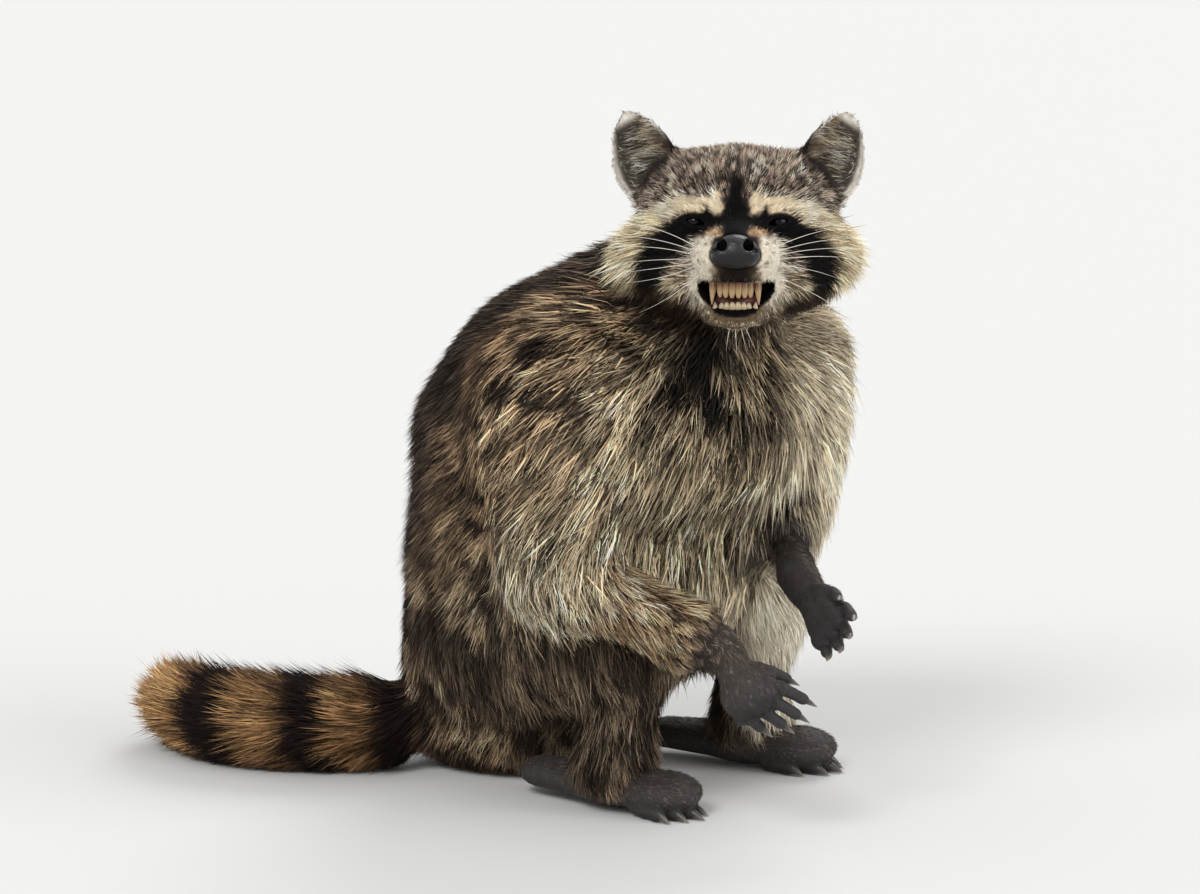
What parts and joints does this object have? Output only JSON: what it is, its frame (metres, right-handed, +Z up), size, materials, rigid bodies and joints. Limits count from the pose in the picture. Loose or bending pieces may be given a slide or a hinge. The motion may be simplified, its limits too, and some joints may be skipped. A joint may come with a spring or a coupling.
{
  "type": "raccoon",
  "caption": "Life-size raccoon sitting hunched on its haunches, forepaws hanging, teeth bared, ringed tail laid along the floor.",
  "frame": {"origin": "centre of the underside of the bounding box, on the floor", "axes": "+Z up; the face looks along -Y; +X to the animal's left as it faces -Y, the tail lying towards -X"},
  "size_m": [0.4166, 0.2882, 0.3926],
  "materials": {
    "coat": "long grizzled fur",
    "bare_skin": "dark skin, finely creased, with short hair on hands and feet",
    "tooth": "moist ivory, with dark gums",
    "eye": "polished, nearly black",
    "claw": "dull horn"
  },
  "bodies": {
    "root": {"head": "coat", "muzzle": "coat", "lower_jaw": "coat", "ear_left": "coat", "ear_right": "coat", "neck": "coat", "chest": "coat", "abdomen": "coat", "rump": "coat", "tail_root": "coat", "tail_middle": "coat", "tail_banded": "coat", "tail_tip": "coat", "upper_arm_left": "coat", "upper_arm_right": "coat", "forearm_left": "coat", "forearm_right": "coat", "thigh_left": "coat", "thigh_right": "coat", "shank_left": "coat", "shank_right": "coat", "nose": "bare_skin", "hand_left": "bare_skin", "hand_right": "bare_skin", "foot_left": "bare_skin", "foot_right": "bare_skin", "upper_gums": "tooth", "lower_gums": "tooth", "eye_left": "eye", "eye_right": "eye", "claw_hand_left_thumb": "claw", "claw_hand_left_index": "claw", "claw_hand_left_middle": "claw", "claw_hand_left_ring": "claw", "claw_hand_left_little": "claw", "claw_foot_left_inner": "claw", "claw_foot_left_second": "claw", "claw_foot_left_middle": "claw", "claw_foot_left_fourth": "claw", "claw_foot_left_outer": "claw", "claw_hand_right_thumb": "claw", "claw_hand_right_index": "claw", "claw_hand_right_middle": "claw", "claw_hand_right_ring": "claw", "claw_hand_right_little": "claw", "claw_foot_right_inner": "claw", "claw_foot_right_second": "claw", "claw_foot_right_middle": "claw", "claw_foot_right_fourth": "claw", "claw_foot_right_outer": "claw"}
  },
  "joints": []
}
